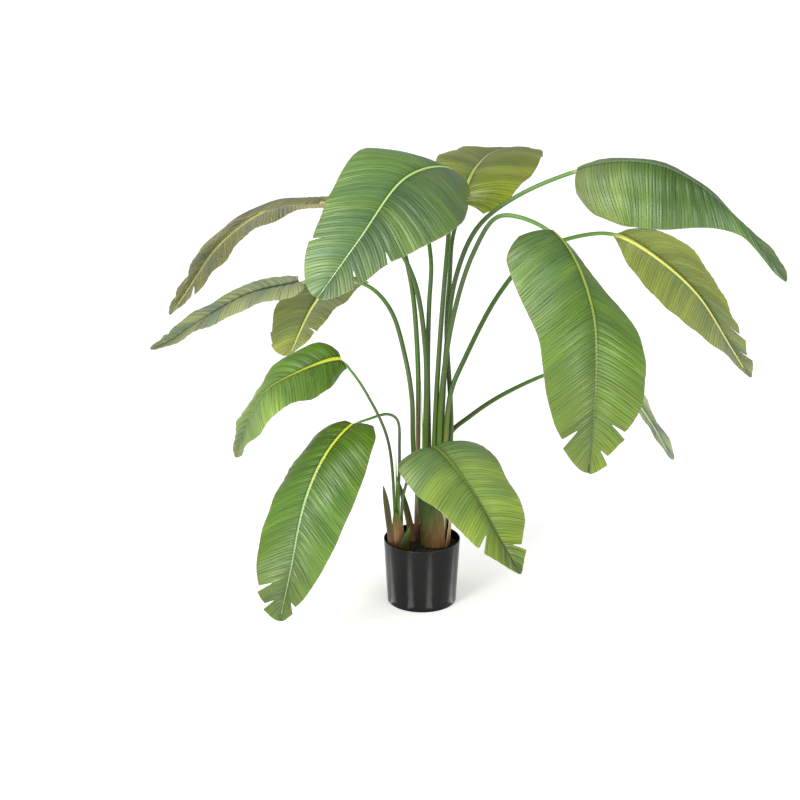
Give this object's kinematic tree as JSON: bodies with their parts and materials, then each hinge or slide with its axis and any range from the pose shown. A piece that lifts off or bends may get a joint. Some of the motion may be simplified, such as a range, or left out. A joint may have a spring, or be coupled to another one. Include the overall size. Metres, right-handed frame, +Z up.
{
  "type": "potted banana plant",
  "caption": "Free-standing banana plant with broad arching leaves on long stems, planted in a plain tapered nursery pot.",
  "frame": {"origin": "centre of the pot's underside, on the floor it stands on", "axes": "+Z up, +X to the right of the plant as first seen, along its widest spread, +Y away from the viewer"},
  "size_m": [2.3446, 1.4399, 1.7836],
  "materials": {
    "pot": "semi-gloss black",
    "soil": "matte black granules",
    "leaf_blade": "satin coated sheet, mid green with yellow-green veins",
    "leaf_stalk": "satin green",
    "leaf_base": "matte fibrous brown turning green",
    "young_leaf": "satin pale green"
  },
  "bodies": {
    "root": {"pot": "pot", "soil": "soil", "leaf_01_stalk": "leaf_stalk", "leaf_01_blade": "leaf_blade", "leaf_02_stalk": "leaf_stalk", "leaf_02_blade": "leaf_blade", "leaf_03_stalk": "leaf_stalk", "leaf_03_blade": "leaf_blade", "leaf_04_stalk": "leaf_stalk", "leaf_04_blade": "leaf_blade", "leaf_05_stalk": "leaf_stalk", "leaf_05_blade": "leaf_blade", "leaf_06_stalk": "leaf_stalk", "leaf_06_blade": "leaf_blade", "leaf_07_stalk": "leaf_stalk", "leaf_07_blade": "leaf_blade", "leaf_08_stalk": "leaf_stalk", "leaf_08_blade": "leaf_blade", "leaf_09_stalk": "leaf_stalk", "leaf_09_blade": "leaf_blade", "leaf_10_stalk": "leaf_stalk", "leaf_10_blade": "leaf_blade", "leaf_11_stalk": "leaf_stalk", "leaf_11_blade": "leaf_blade", "leaf_12_stalk": "leaf_stalk", "leaf_12_blade": "leaf_blade", "leaf_13_stalk": "leaf_stalk", "leaf_13_blade": "leaf_blade", "trunk_sheath_front": "leaf_base", "trunk_sheath_right": "leaf_base", "trunk_sheath_back": "leaf_base", "side_sheath_front": "leaf_base", "side_sheath_back": "leaf_base", "bract_left": "leaf_base", "bract_front": "leaf_base", "bract_rear": "leaf_base", "trunk_spear": "young_leaf", "side_spear": "young_leaf"}
  },
  "joints": []
}
